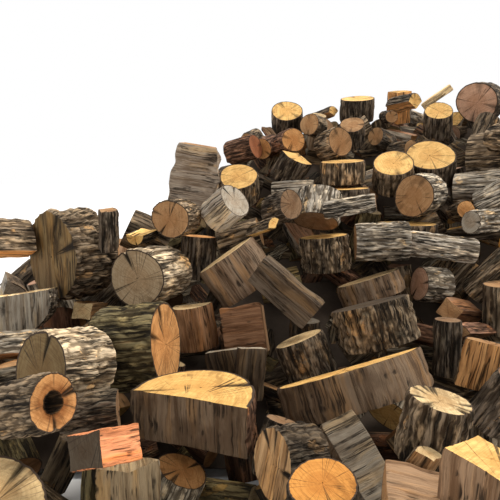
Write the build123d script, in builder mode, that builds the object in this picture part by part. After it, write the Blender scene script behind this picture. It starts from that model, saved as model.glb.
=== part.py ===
# Heap of firewood logs: sawn rounds and split billets tipped in a heap.
#
# Every piece is a length of trunk or limb sawn square at both ends. Some are whole rounds and
# others were split along the grain. The heap has a front hill and a taller hill behind it on
# the right. The pieces deep inside are one plain core. Each piece of the skin is laid in turn:
# it travels along a straight line until it bears on what was laid before it, so the heap
# settles again when a size is changed.
#
# Sizes are in millimetres and angles in degrees. +Z is up and -Y is the side that the viewer
# sees. The origin is on the ground, near the middle of the core's base.
from build123d import *
import math
import os
import numpy as np

# Where the viewer's eye is, and how the photograph's pixels lie about its line of sight.
EYE_HEIGHT = 1650.0
EYE_DISTANCE = 4100.0
EYE_SHIFT = -350.0
EYE_PITCH = 10.2
PICTURE_CENTRE = 250.0
PICTURE_FOCUS = 500.0

# The core is three hills with level tops: least x, greatest x, least y, greatest y of each.
FRONT_BASE = (-2050.0, 1750.0, -1900.0, 900.0)
FRONT_LEVEL = (-1500.0, 500.0, -350.0, -200.0)
FRONT_TOP = 760.0
SHOULDER_BASE = (-1500.0, 1700.0, -1100.0, 2400.0)
SHOULDER_LEVEL = (-300.0, 400.0, 700.0, 900.0)
SHOULDER_TOP = 1760.0
BACK_BASE = (-1150.0, 3150.0, -1100.0, 2650.0)
BACK_LEVEL = (250.0, 2150.0, 950.0, 1250.0)
BACK_TOP = 2000.0

# Half the length of the bars that the hills are cut from, well past their feet.
HILL_CUT = 6000.0

# How near a piece comes to the one that it bears on.
BEARING_GAP = 0.3

# The outline of a trunk: flats round it, and how far it is from a true circle.
NEAR_SIDE_COUNT = 16
FAR_SIDE_COUNT = 12
UNDER_SIDE_COUNT = 10
FLANK_SIDE_COUNT = 8
FAR_ROW = 215.0
OVALNESS = 0.045
LOBING = 0.022

# The golden section, which spreads seeded values evenly with no repeats.
GOLDEN_ANGLE = 137.508
GOLDEN_SHARE = 0.6180339887

# A split half is cut a little off the heart, and a wedge takes up a third of the trunk. Split
# pieces come from thicker trunks.
HALF_CUT = 0.08
WEDGE_ANGLE = 118.0
SPLIT_WIDER = 1.3

# The heart of the hollow round is rotted away right through.
HOLLOW_SHARE = 0.45

# How far the visible face of the heap is from the eye at some rows of the photograph.
FACE_ROWS = (110.0, 150.0, 205.0, 265.0, 319.0, 373.0, 438.0, 500.0, 600.0, 700.0)
FACE_REACH = (5300.0, 4800.0, 4000.0, 3050.0, 2700.0, 2450.0, 2200.0, 1950.0, 1750.0, 1600.0)

# The crest of the front hill on the left, as far as this column and down to this row, and how
# much nearer to the eye the rounds hidden under it come down.
CREST_REACH = 3600.0
CREST_COLUMN = 240.0
CREST_ROW = 240.0
CREST_INSET = 250.0

# How far from the eye the top pieces of the back hill and its shoulder come straight down.
TOP_REACH = 5220.0
SHOULDER_REACH = 4930.0

# How far a piece may shift in the picture to lie deeper, in pixels, and what depth that costs.
SHIFT_STEP = 5.0
SHIFT_RINGS = 4
SHIFT_COST = 9.0
SIZE_SHARE = 0.95
LEAST_SCALE = 0.72
GREATEST_SCALE = 1.2
SCALE_LOSS = 120.0

# The rows of the under layer in the photograph, how far apart its pieces are along a row, and
# their least and greatest sizes.
UNDER_ROWS = (152.0, 180.0, 206.0, 232.0, 285.0, 340.0, 395.0, 450.0, 505.0)
UNDER_STEP_FAR = 42.0
UNDER_STEP_NEAR = 60.0
UNDER_RADIUS = (75.0, 120.0)
UNDER_LENGTH = (220.0, 330.0)

# The seeded pieces over the slopes: how far apart each sweep lays them, how high each may lie
# on the others as a share of its radius, and how much smaller the next sweep's are. In the
# photograph's view they lie lower, and stay under its skyline. Then how far out they start,
# their sizes, and the height of a storey, which is one node.
FLANK_STEPS = (290.0, 250.0, 270.0, 240.0, 260.0)
FLANK_RISES = (2.0, 2.8, 3.4, 3.8, 4.2)
FLANK_SHRINK = 0.95
SEEN_RISE = 1.3
SKY_COLUMNS = (0.0, 70.0, 165.0, 225.0, 260.0, 340.0, 500.0)
SKY_ROWS = (218.0, 215.0, 215.0, 150.0, 120.0, 103.0, 92.0)
FLANK_START = 1500.0
FLANK_RADIUS = (115.0, 175.0)
FILL_LENGTH = (270.0, 390.0)
OUTER_STOREY = 850.0

# The pieces on the ground at the front foot: how many, where they start, and their sizes.
TOE_COUNT = 18
TOE_START = 4600.0
TOE_SPREAD = (-2000.0, 1900.0)
TOE_RADIUS = (90.0, 130.0)


def unit(vector):
    return np.array(vector, float) / np.linalg.norm(vector)


class View:
    """The line of sight through one pixel, with the directions to its right and above it."""

    def __init__(self, u, v):
        pitch = math.radians(EYE_PITCH)
        across = (u - PICTURE_CENTRE) / PICTURE_FOCUS
        above = (PICTURE_CENTRE - v) / PICTURE_FOCUS
        forward = np.array([0.0, math.cos(pitch), -math.sin(pitch)])
        upward = np.array([0.0, math.sin(pitch), math.cos(pitch)])
        self.eye = np.array([EYE_SHIFT, -EYE_DISTANCE, EYE_HEIGHT])
        self.sight = unit(forward + across * np.array([1.0, 0.0, 0.0]) + above * upward)
        self.right = unit(np.cross(self.sight, [0.0, 0.0, 1.0]))
        self.up = np.cross(self.right, self.sight)

    def direction(self, turn, opening):
        """A direction that is seen to point along `turn`, at `opening` degrees from the eye."""
        aside = math.sin(math.radians(opening))
        seen = math.cos(math.radians(turn)) * self.right + math.sin(math.radians(turn)) * self.up
        return aside * seen - math.cos(math.radians(opening)) * self.sight


def pixels(points):
    """Where points are seen in the photograph: columns and rows."""
    pitch = math.radians(EYE_PITCH)
    apart = points - np.array([EYE_SHIFT, -EYE_DISTANCE, EYE_HEIGHT])
    ahead = apart @ np.array([0.0, math.cos(pitch), -math.sin(pitch)])
    above = apart @ np.array([0.0, math.sin(pitch), math.cos(pitch)])
    ahead = np.maximum(ahead, 1.0)
    return PICTURE_CENTRE + PICTURE_FOCUS * apart[:, 0] / ahead, PICTURE_CENTRE - PICTURE_FOCUS * above / ahead


class Block:
    """A convex body: its corners, edges and outward faces, with the plane it was drawn on."""

    def __init__(self, corners, edges, normals):
        self.corners = np.array(corners, float)
        self.edges = np.array(edges)
        self.normals = np.array(normals, float)
        self.reach = (self.corners @ self.normals.T).max(axis=0)
        self.middle = self.corners.mean(axis=0)
        self.size = np.linalg.norm(self.corners - self.middle, axis=1).max()

    def moved(self, shift):
        other = Block(self.corners + shift, self.edges, self.normals)
        other.outline = getattr(self, "outline", None)
        return other


def prism(outline, along, across, length):
    """A prism about the origin, its outline given along `across` and a third direction."""
    along = unit(along)
    across = unit(across - along * (across @ along))
    third = np.cross(along, across)
    flat = np.array([f * across + w * third for f, w in outline])
    count = len(outline)
    corners = np.vstack([flat - along * length / 2, flat + along * length / 2])
    near = [(k, (k + 1) % count) for k in range(count)]
    far = [(a + count, b + count) for a, b in near]
    up = [(k, k + count) for k in range(count)]
    sides = np.cross(np.roll(flat, -1, axis=0) - flat, along)
    sides = sides / np.linalg.norm(sides, axis=1)[:, None]
    block = Block(corners, near + far + up, np.vstack([sides, along, -along]))
    block.outline = outline
    return block


def trunk_radius(angle, radius, seed):
    """The radius of a trunk that is a little oval and a little three-cornered."""
    start = math.radians(GOLDEN_ANGLE * seed)
    oval = OVALNESS * math.cos(2 * (angle - start))
    return radius * (1 + oval + LOBING * math.cos(3 * (angle + start)))


def arc(radius, first, last, count, seed):
    """Corners along the bark from one angle to another, measured from the `across` side."""
    turns = [math.radians(first + (last - first) * k / (count - 1)) for k in range(count)]
    reaches = [trunk_radius(a, radius, seed) for a in turns]
    return [(r * math.cos(a), r * math.sin(a)) for r, a in zip(reaches, turns)]


def round_outline(radius, flats, seed):
    step = 360.0 / flats
    return arc(radius, 0.0, 360.0 - step, flats, seed)


def half_outline(radius, flats, seed):
    """The bark side of a trunk split beside its heart. The split face looks along `across`."""
    start = math.degrees(math.acos(HALF_CUT))
    return arc(radius, start, 360.0 - start, flats // 2 + 2, seed)


def wedge_outline(radius, flats, seed):
    """A third of a trunk, moved back to its middle. The bark looks along `across`."""
    bark = arc(radius, -WEDGE_ANGLE / 2, WEDGE_ANGLE / 2, flats // 3 + 2, seed)
    return [(f - radius / 2, w) for f, w in [(0.0, 0.0)] + bark]


def slab_outline(width, thick, seed):
    """A split board, a little narrower and thinner at one edge. Its face looks along `across`."""
    lean = 0.06 * math.cos(GOLDEN_ANGLE * seed)
    near, far = thick / 2 * (1 + lean), thick / 2 * (1 - lean)
    return [(near, -width / 2), (near * 0.95, width / 2), (-far, width * 0.47), (-far * 0.9, -width * 0.48)]


def span(normals, reach, points):
    """The lowest and highest height of a convex body over each plan point."""
    slack = reach[None, :] - points @ normals[:, :2].T
    rise = normals[:, 2]
    top = rise > 1e-9
    bottom = rise < -1e-9
    high = (slack[:, top] / rise[top]).min(axis=1)
    low = (slack[:, bottom] / rise[bottom]).max(axis=1)
    outside = (slack[:, ~(top | bottom)] < -1e-3).any(axis=1)
    low[outside] = np.inf
    return low, high


def crossings(a_start, a_end, b_start, b_end):
    """The plan points where any segment of a crosses any segment of b."""
    run_a = (a_end - a_start)[:, None, :]
    run_b = (b_end - b_start)[None, :, :]
    apart = b_start[None, :, :] - a_start[:, None, :]
    turn = run_a[..., 0] * run_b[..., 1] - run_a[..., 1] * run_b[..., 0]
    level = np.abs(turn) < 1e-9
    turn = np.where(level, 1.0, turn)
    share_a = (apart[..., 0] * run_b[..., 1] - apart[..., 1] * run_b[..., 0]) / turn
    share_b = (apart[..., 0] * run_a[..., 1] - apart[..., 1] * run_a[..., 0]) / turn
    cross = (share_a >= 0) & (share_a <= 1) & (share_b >= 0) & (share_b <= 1) & ~level
    return (a_start[:, None, :] + share_a[..., None] * run_a)[cross]


def axes_for(direction):
    side = np.array([1.0, 0.0, 0.0]) if abs(direction[0]) < 0.7 else np.array([0.0, 1.0, 0.0])
    first = unit(np.cross(side, direction))
    return np.array([first, np.cross(-direction, first), -direction])


def travel(mover, others, direction):
    """How far the mover can go along a direction before it touches any of the others."""
    axes = axes_for(direction)
    a = mover.corners @ axes.T
    a_normals = mover.normals @ axes.T
    a_ends = a[mover.edges][:, :, :2]
    nearest = math.inf
    aside = (np.array([other.middle for other in others]) - mover.middle) @ axes[:2].T
    near = np.linalg.norm(aside, axis=1) < mover.size + np.array([other.size for other in others])
    for other in [others[k] for k in np.flatnonzero(near)]:
        b = other.corners @ axes.T
        if (a.max(axis=0)[:2] < b.min(axis=0)[:2]).any() or (b.max(axis=0)[:2] < a.min(axis=0)[:2]).any():
            continue
        if a[:, 2].min() - b[:, 2].max() > nearest:
            continue
        b_ends = b[other.edges][:, :, :2]
        cross = crossings(a_ends[:, 0], a_ends[:, 1], b_ends[:, 0], b_ends[:, 1])
        points = np.vstack([a[:, :2], b[:, :2], cross])
        low_a, high_a = span(a_normals, mover.reach, points)
        low_b, high_b = span(other.normals @ axes.T, other.reach, points)
        both = (low_a <= high_a + 1e-3) & (low_b <= high_b + 1e-3)
        if both.any() and (low_b - high_a)[both].min() < 0:
            nearest = min(nearest, (low_a - high_b)[both].min())
    return nearest


def frustum(base, top, height):
    """A hill with a level top: two rectangles, each as least x, greatest x, least y, greatest y."""
    low = [(base[0], base[2], 0), (base[1], base[2], 0), (base[1], base[3], 0), (base[0], base[3], 0)]
    high = [(top[0], top[2]), (top[1], top[2]), (top[1], top[3]), (top[0], top[3])]
    corners = np.array(low + [(x, y, height) for x, y in high], float)
    edges = [(k, (k + 1) % 4) for k in range(4)]
    edges = edges + [(a + 4, b + 4) for a, b in edges] + [(k, k + 4) for k in range(4)]
    normals = [(0, 0, -1), (0, 0, 1)]
    for k in range(4):
        run = corners[(k + 1) % 4] - corners[k]
        normals.append(unit(np.cross(run, corners[k + 4] - corners[k])))
    return Block(corners, edges, normals)


laid = []
nodes = {}


def keep(node, block, hollow=0.0):
    laid.append(block)
    nodes.setdefault(node, []).append((block, hollow))


def settle(block, direction, heading):
    """Send a body along a direction until it bears on a body or comes to the ground."""
    free = travel(block, laid, direction)
    ground = math.inf
    if direction[2] < -1e-6:
        ground = block.corners[:, 2].min() / -direction[2]
    if math.isinf(min(free, ground)) or free < 0:
        return None, -math.inf
    if free <= ground:
        return block.moved(direction * (free - BEARING_GAP)), free
    block = block.moved(direction * ground)
    along = travel(block, laid, heading)
    if math.isinf(along) or along < 0:
        return None, -math.inf
    return block.moved(heading * (along - BEARING_GAP)), ground + along


def outline_for(kind, radius, flats, seed, thick):
    if kind == "round":
        return round_outline(radius, flats, seed)
    if kind == "half":
        return half_outline(radius, flats, seed)
    if kind == "wedge":
        return wedge_outline(radius, flats, seed)
    return slab_outline(2 * radius, thick, seed)


def face_reach(u, v):
    if u < CREST_COLUMN and v < CREST_ROW:
        return CREST_REACH
    return float(np.interp(v, FACE_ROWS, FACE_REACH))


def attempt(view, kind, sizes, turn, opening, side, drop, seed, flats):
    """Lay one body of the given radius, length and thickness along one line of sight."""
    radius, length, thick = sizes
    outline = outline_for(kind, radius, flats, seed, thick)
    block = prism(outline, view.direction(turn, opening), view.direction(side[0], side[1]), length)
    level = unit(view.sight * np.array([1.0, 1.0, 0.0]))
    if drop:
        block = block.moved(view.eye + view.sight * drop / view.sight[1] + np.array([0.0, 0.0, BACK_TOP]))
        return settle(block, np.array([0.0, 0.0, -1.0]), level)
    return settle(block.moved(view.eye), view.sight, level)


def lay(node, kind, u, v, turn, opening, radius, length,
        side=(90, 90), thick=0.0, drop=0.0, hollow=0.0, sides=0):
    """Lay one piece through a pixel. Side is where its split face or its bark looks.

    The axis is seen to point along `turn`, at `opening` degrees from the eye. Sizes are those
    that it would have on the face of the heap: one that comes to rest deeper is larger.
    With a drop distance it comes straight down at that depth from the eye, from well above.
    """
    seed = len(laid)
    flats = sides or (FAR_SIDE_COUNT if v < FAR_ROW else NEAR_SIDE_COUNT)
    reach = drop if drop else face_reach(u, v)
    sizes = np.array([radius, length, thick]) * SIZE_SHARE
    best = None
    best_depth = 0.0
    best_score = -math.inf
    for ring in range(SHIFT_RINGS + 1):
        for k in range(1 if ring == 0 else 8):
            angle = math.radians(45 * k)
            shift = SHIFT_STEP * ring
            view = View(u + shift * math.cos(angle), v + shift * math.sin(angle))
            block, depth = attempt(view, kind, sizes, turn, opening, side, drop, seed, flats)
            score = depth - SHIFT_COST * shift
            if block is not None and score > best_score:
                best = block
                best_depth = depth
                best_score = score
                best_view = view
    if best is None:
        return
    for scale in [best_depth / reach, best_depth / reach * 0.92]:
        scale = min(max(scale, LEAST_SCALE), GREATEST_SCALE)
        block, depth = attempt(best_view, kind, sizes * scale, turn, opening, side, drop, seed, flats)
        if block is not None and depth > best_depth - SCALE_LOSS and not drop:
            best = block
            break
    keep(node, best, hollow)


front_hill = frustum(FRONT_BASE, FRONT_LEVEL, FRONT_TOP)
shoulder_hill = frustum(SHOULDER_BASE, SHOULDER_LEVEL, SHOULDER_TOP)
back_hill = frustum(BACK_BASE, BACK_LEVEL, BACK_TOP)
laid.append(front_hill)
laid.append(shoulder_hill)
laid.append(back_hill)


def wander(count, start):
    """Evenly spread shares between 0 and 1 that look random, and never repeat."""
    return [(start + k * GOLDEN_SHARE) % 1.0 for k in range(count)]


def between(limits, share):
    return limits[0] + (limits[1] - limits[0]) * share


def under_layer():
    """Plain rounds and halves over the slopes that face the viewer, seen in the gaps."""
    count = 0
    for row, v in enumerate(UNDER_ROWS):
        step = UNDER_STEP_FAR if v < FAR_ROW else UNDER_STEP_NEAR
        for column in range(int(2.2 * PICTURE_CENTRE / step) + 1):
            u = -20 + step * column + 0.4 * step * (row % 2)
            if v < FAR_ROW and u < CREST_COLUMN:
                continue
            shares = wander(4, 0.37 * count)
            kind = "half" if count % 3 == 0 else "round"
            radius = between(UNDER_RADIUS, shares[0])
            length = between(UNDER_LENGTH, shares[1])
            opening = 50 + 40 * shares[2]
            lay("under_layer_" + str(row // 4 + 1), kind, u=u, v=v, turn=360 * shares[3], opening=opening,
                radius=radius, length=length, sides=UNDER_SIDE_COUNT)
            count += 1


def tossed(count, along, across, radius, length):
    """A seeded piece about the origin, its kind taken from its number."""
    kind = ["round", "half", "round", "wedge"][count % 4]
    if kind != "round":
        radius = radius * SPLIT_WIDER
    return prism(outline_for(kind, radius, FLANK_SIDE_COUNT, count, 0), along, across, length)


def face_points(hill, normal, step):
    """Points spread over one face of a hill, in rows that are staggered."""
    corners = hill.corners[hill.corners @ normal > (hill.corners @ normal).max() - 1.0]
    aside = unit(np.cross(normal, [0.0, 1.0, 0.0] if normal[2] > 0.99 else [0.0, 0.0, 1.0]))
    upward = np.cross(aside, normal)
    middle = corners.mean(axis=0)
    wide = np.abs((corners - middle) @ aside).max()
    tall = np.abs((corners - middle) @ upward).max()
    found = []
    for row in range(-int(tall / step) - 1, int(tall / step) + 2):
        for column in range(-int(wide / step) - 1, int(wide / step) + 2):
            shift = 0.5 if row % 2 else 0.0
            point = middle + aside * step * (column + shift) + upward * step * row
            if (hill.normals @ point < hill.reach + step / 4).all():
                found.append(point)
    return found


def flank_layer():
    """Rounds and billets over every slope, each sent straight in from outside.

    One is kept if it comes to lie on the core, or in the gaps between those that do. In the
    photograph's view it has to lie low and stay under the skyline of the heap.
    """
    count = 0
    for sweep, step in enumerate(FLANK_STEPS):
        for hill in (front_hill, shoulder_hill, back_hill):
            for normal in hill.normals:
                if normal[2] < 0.01:
                    continue
                for point in face_points(hill, normal, step):
                    count += 1
                    lay_on_slope(sweep, count, point, normal)


def lay_on_slope(sweep, count, point, normal):
    """Send one seeded piece in against a slope, and keep it if it lies low enough."""
    shares = wander(4, 0.211 * count)
    radius = between(FLANK_RADIUS, shares[0]) * FLANK_SHRINK ** sweep
    swing = math.radians(360 * shares[2])
    aside = unit(np.cross(normal, [0.31, 0.95, 0.0]))
    upward = np.cross(aside, normal)
    along = aside * math.cos(swing) + upward * math.sin(swing) + normal * (0.9 * shares[3] - 0.3)
    across = normal + 0.3 * aside
    block = tossed(count, along, across, radius, between(FILL_LENGTH, shares[1]))
    heading = unit(-normal * np.array([1.0, 1.0, 0.0])) if normal[2] < 0.99 else np.array([0.0, 1.0, 0.0])
    block, depth = settle(block.moved(point + normal * FLANK_START), -normal, heading)
    if block is None or block.corners[:, 2].min() < -1e-6:
        return
    columns, rows = pixels(block.corners)
    in_picture = columns.max() > 0 and columns.min() < 2 * PICTURE_CENTRE
    if in_picture and rows.min() < np.interp(columns.mean(), SKY_COLUMNS, SKY_ROWS):
        return
    facing = normal @ (np.array([EYE_SHIFT, -EYE_DISTANCE, EYE_HEIGHT]) - point) > 0
    highest = SEEN_RISE if in_picture and facing else FLANK_RISES[sweep]
    rise = block.middle @ normal - point @ normal
    if rise < radius * highest:
        keep("outer_pieces_" + str(1 + int(block.middle[2] / OUTER_STOREY)), block)


def back_hill_pieces():
    """The rounds of the back hill, from its crest down."""
    lay("back_crest_pieces", "round", u=287, v=120, turn=90, opening=50, radius=155, length=320,
        drop=SHOULDER_REACH)
    lay("back_crest_pieces", "round", u=232, v=126, turn=180, opening=25, radius=85, length=300,
        drop=SHOULDER_REACH)
    lay("back_crest_pieces", "round", u=266, v=115, turn=200, opening=20, radius=92, length=280,
        drop=SHOULDER_REACH)
    lay("back_crest_pieces", "round", u=358, v=113, turn=90, opening=82, radius=185, length=230,
        drop=TOP_REACH)
    lay("back_crest_pieces", "wedge", u=400, v=104, turn=90, opening=80, radius=150, length=330,
        drop=TOP_REACH)
    lay("back_crest_pieces", "round", u=482, v=110, turn=180, opening=15, radius=215, length=330,
        drop=TOP_REACH)
    lay("back_crest_pieces", "round", u=438, v=97, turn=0, opening=20, radius=85, length=260,
        drop=TOP_REACH)
    lay("back_crest_pieces", "wedge", u=326, v=113, turn=20, opening=60, radius=130, length=280,
        drop=TOP_REACH)
    lay("back_crest_pieces", "slab", u=452, v=95, turn=35, opening=80, radius=45, length=340,
        side=(0, 20), thick=50, drop=TOP_REACH)
    lay("back_crest_pieces", "round", u=438, v=122, turn=90, opening=50, radius=140, length=280)
    lay("back_crest_pieces", "wedge", u=418, v=118, turn=10, opening=60, radius=170, length=260)
    lay("back_small_rounds", "round", u=314, v=126, turn=160, opening=20, radius=115, length=300)
    lay("back_small_rounds", "round", u=352, v=134, turn=90, opening=50, radius=128, length=240)
    lay("back_small_rounds", "round", u=374, v=131, turn=0, opening=15, radius=68, length=260)
    lay("back_small_rounds", "round", u=329, v=148, turn=20, opening=35, radius=150, length=280)
    lay("back_small_rounds", "wedge", u=304, v=141, turn=90, opening=30, radius=120, length=240)
    lay("back_small_rounds", "round", u=268, v=147, turn=200, opening=30, radius=115, length=260)
    lay("back_small_rounds", "round", u=288, v=157, turn=20, opening=25, radius=125, length=260)
    lay("back_small_rounds", "round", u=372, v=151, turn=150, opening=40, radius=98, length=240)
    lay("back_small_rounds", "round", u=392, v=152, turn=10, opening=45, radius=105, length=240)
    lay("back_right_dark_round", "round", u=478, v=156, turn=5, opening=75, radius=230, length=420)
    lay("back_right_dark_round", "round", u=506, v=138, turn=0, opening=30, radius=150, length=300)
    lay("broad_back_round", "round", u=426, v=163, turn=90, opening=52, radius=225, length=260)
    lay("back_top_round", "round", u=393, v=174, turn=90, opening=54, radius=195, length=240)
    lay("back_disc", "round", u=350, v=179, turn=92, opening=84, radius=205, length=190)
    lay("back_bright_wedge", "wedge", u=291, v=169, turn=60, opening=60, radius=190, length=280,
        side=(250, 60))
    lay("back_left_rounds", "round", u=257, v=164, turn=15, opening=60, radius=130, length=300)
    lay("back_left_rounds", "round", u=250, v=197, turn=95, opening=52, radius=180, length=220)
    lay("middle_face_round", "round", u=421, v=195, turn=190, opening=22, radius=180, length=300)
    lay("mottled_logs", "round", u=464, v=188, turn=5, opening=80, radius=145, length=350)
    lay("mottled_logs", "round", u=500, v=196, turn=30, opening=70, radius=125, length=320)
    lay("mottled_logs", "round", u=450, v=201, turn=20, opening=20, radius=80, length=240)
    lay("crossing_logs", "round", u=350, v=202, turn=92, opening=86, radius=200, length=165)
    lay("middle_disc", "round", u=406, v=214, turn=90, opening=84, radius=235, length=165)
    lay("bright_split_wedge", "wedge", u=464, v=217, turn=12, opening=84, radius=150, length=430,
        side=(260, 70))
    lay("bright_split_wedge", "half", u=503, v=243, turn=60, opening=60, radius=120, length=260,
        side=(90, 70))
    lay("crossing_logs", "round", u=298, v=189, turn=3, opening=82, radius=76, length=370)
    lay("crossing_logs", "wedge", u=291, v=203, turn=30, opening=40, radius=110, length=240)
    lay("tipped_round", "round", u=318, v=208, turn=262, opening=64, radius=198, length=250)
    lay("long_bark_piece", "half", u=350, v=207, turn=10, opening=84, radius=95, length=420,
        side=(270, 150))
    lay("grained_weathered_log", "round", u=442, v=247, turn=176, opening=72, radius=85, length=430)
    lay("grained_weathered_log", "round", u=470, v=235, turn=190, opening=35, radius=85, length=280)


def ridge_pieces():
    """The crest of the front hill, from the left to the middle."""
    lay("tall_bark_round", "round", u=72, v=264, turn=184, opening=62, radius=330, length=290)
    lay("left_crest_pieces", "wedge", u=22, v=240, turn=175, opening=80, radius=270, length=340,
        side=(120, 70))
    lay("left_crest_pieces", "wedge", u=107, v=230, turn=88, opening=78, radius=160, length=300,
        side=(0, 70))
    lay("left_crest_pieces", "half", u=128, v=232, turn=200, opening=30, radius=85, length=250,
        side=(90, 80))
    lay("tall_grey_slab", "slab", u=196, v=195, turn=82, opening=80, radius=225, length=560,
        side=(200, 14), thick=150)
    lay("crest_rounds", "round", u=163, v=232, turn=190, opening=22, radius=155, length=280)
    lay("crest_rounds", "round", u=218, v=216, turn=40, opening=50, radius=150, length=260)
    lay("crest_rounds", "round", u=261, v=208, turn=20, opening=40, radius=140, length=280)
    lay("crest_rounds", "wedge", u=262, v=228, turn=20, opening=50, radius=110, length=240,
        side=(90, 60))
    lay("ridged_bark_round", "round", u=325, v=258, turn=97, opening=83, radius=200, length=250)
    lay("mottled_bark_round", "round", u=378, v=238, turn=4, opening=98, radius=145, length=370)
    lay("tilted_thick_round", "round", u=238, v=262, turn=125, opening=84, radius=212, length=275)


def front_pieces():
    """The pieces on the front slope, from the crest down to the toe."""
    lay("leaning_dark_slab", "slab", u=285, v=292, turn=320, opening=86, radius=115, length=440,
        side=(50, 150), thick=90)
    lay("faced_round", "round", u=152, v=275, turn=190, opening=34, radius=190, length=330)
    lay("left_grey_half", "half", u=18, v=296, turn=190, opening=14, radius=210, length=250,
        side=(93, 84))
    lay("left_edge_billets", "wedge", u=20, v=331, turn=200, opening=60, radius=130, length=240)
    lay("left_edge_billets", "wedge", u=6, v=346, turn=176, opening=84, radius=150, length=330,
        side=(90, 70))
    lay("left_edge_billets", "wedge", u=8, v=366, turn=182, opening=84, radius=150, length=330,
        side=(270, 70))
    lay("left_edge_billets", "slab", u=76, v=325, turn=180, opening=22, radius=75, length=260,
        side=(80, 80), thick=130)
    lay("left_edge_billets", "wedge", u=96, v=319, turn=30, opening=50, radius=110, length=240)
    lay("slice_top", "round", u=361, v=288, turn=111, opening=85, radius=232, length=145)
    lay("right_lens_log", "round", u=432, v=285, turn=180, opening=60, radius=135, length=200)
    lay("right_edge_logs", "round", u=478, v=276, turn=50, opening=78, radius=118, length=380)
    lay("right_edge_logs", "slab", u=461, v=312, turn=180, opening=25, radius=70, length=280,
        side=(55, 85), thick=125)
    lay("right_edge_logs", "round", u=498, v=308, turn=95, opening=76, radius=110, length=270)
    lay("right_edge_logs", "wedge", u=456, v=332, turn=190, opening=30, radius=120, length=260)
    lay("right_edge_logs", "round", u=495, v=353, turn=10, opening=78, radius=105, length=330)
    lay("split_block", "slab", u=256, v=320, turn=8, opening=82, radius=155, length=240,
        side=(185, 14), thick=210)
    lay("reddish_bark_half", "half", u=203, v=332, turn=98, opening=76, radius=145, length=270,
        side=(0, 160))
    lay("slice_middle", "round", u=374, v=324, turn=108, opening=84, radius=225, length=225)
    lay("right_edge_logs", "round", u=440, v=354, turn=92, opening=75, radius=85, length=330)
    lay("slice_low", "round", u=303, v=356, turn=113, opening=79, radius=155, length=250)
    lay("ridged_orange_round", "round", u=136, v=346, turn=0, opening=64, radius=222, length=340)
    lay("big_dark_round", "round", u=66, v=370, turn=180, opening=54, radius=208, length=280)
    lay("wide_half_slice", "half", u=352, v=386, turn=111, opening=85, radius=350, length=175,
        side=(0, 170))
    lay("right_split_half", "half", u=481, v=376, turn=82, opening=80, radius=125, length=220,
        side=(0, 8))
    lay("right_edge_logs", "round", u=499, v=403, turn=60, opening=70, radius=100, length=260)
    lay("gap_planks", "slab", u=228, v=376, turn=100, opening=78, radius=100, length=260,
        side=(200, 20), thick=60)
    lay("gap_planks", "slab", u=249, v=374, turn=84, opening=78, radius=90, length=260,
        side=(0, 30), thick=60)
    lay("standing_round", "round", u=437, v=434, turn=81, opening=64, radius=142, length=290)
    lay("small_dark_half", "half", u=92, v=414, turn=0, opening=78, radius=110, length=240,
        side=(0, 170))
    lay("big_half_round", "half", u=171, v=422, turn=90, opening=60, radius=300, length=240,
        side=(227, 38))
    lay("hollow_round", "round", u=33, v=406, turn=0, opening=40, radius=140, length=260,
        hollow=HOLLOW_SHARE)
    lay("curved_grey_slab", "slab", u=357, v=458, turn=306, opening=84, radius=85, length=340,
        side=(30, 24), thick=80)
    lay("small_ridged_log", "round", u=256, v=448, turn=75, opening=75, radius=84, length=230)
    lay("lens_face_round", "round", u=292, v=461, turn=192, opening=54, radius=150, length=200)
    lay("toe_rounds", "round", u=172, v=472, turn=60, opening=58, radius=135, length=230)
    lay("toe_rounds", "wedge", u=130, v=494, turn=90, opening=60, radius=140, length=220)
    lay("cracked_block", "slab", u=106, v=447, turn=182, opening=44, radius=82, length=230,
        side=(0, 50), thick=215)
    lay("toe_rounds", "round", u=324, v=512, turn=95, opening=48, radius=140, length=250)
    lay("toe_rounds", "wedge", u=414, v=475, turn=60, opening=60, radius=100, length=220)
    lay("toe_rounds", "half", u=424, v=496, turn=180, opening=78, radius=150, length=260, side=(90, 50))
    lay("big_corner_block", "slab", u=488, v=484, turn=86, opening=58, radius=135, length=210,
        side=(200, 30), thick=220)
    lay("cream_toe_round", "round", u=-2, v=508, turn=60, opening=34, radius=225, length=240)


def hidden_crest():
    """Rounds along the top of the front hill that carry the pieces of its crest."""
    for count in range(6):
        share = count * GOLDEN_SHARE % 1.0
        u = 10 + 46 * count
        lay("hidden_crest_rounds", "round", u=u, v=250, turn=180 * share, opening=80 + 10 * share,
            radius=120 + 30 * share, length=300, drop=CREST_REACH - CREST_INSET)


def toe_layer():
    """Rounds and billets pushed up against the front foot of the heap, on the ground."""
    for count in range(TOE_COUNT):
        shares = wander(4, 0.211 * count)
        swing = math.radians(360 * shares[2])
        along = np.array([math.cos(swing), math.sin(swing), 0.9 * shares[3] - 0.3])
        across = np.array([math.sin(swing), -math.cos(swing), 0.35])
        block = tossed(count, along, across, between(TOE_RADIUS, shares[0]), between(FILL_LENGTH, shares[1]))
        place = between(TOE_SPREAD, count * GOLDEN_SHARE % 1.0)
        heading = unit([-0.12 * place / TOE_SPREAD[1], 1.0, 0.0])
        block, depth = settle(block.moved([place, -TOE_START, -block.corners[:, 2].min()]), heading, heading)
        if block is not None:
            keep("toe_pieces", block)


def plane_of(block):
    """The plane of a body's first sawn end, with its axis pointing into the body."""
    count = len(block.outline)
    middle = block.corners[:count].mean(axis=0)
    inward = unit(block.corners[count] - block.corners[0])
    return Plane(origin=tuple(middle), x_dir=tuple(unit(block.corners[0] - middle)), z_dir=tuple(inward))


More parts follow.
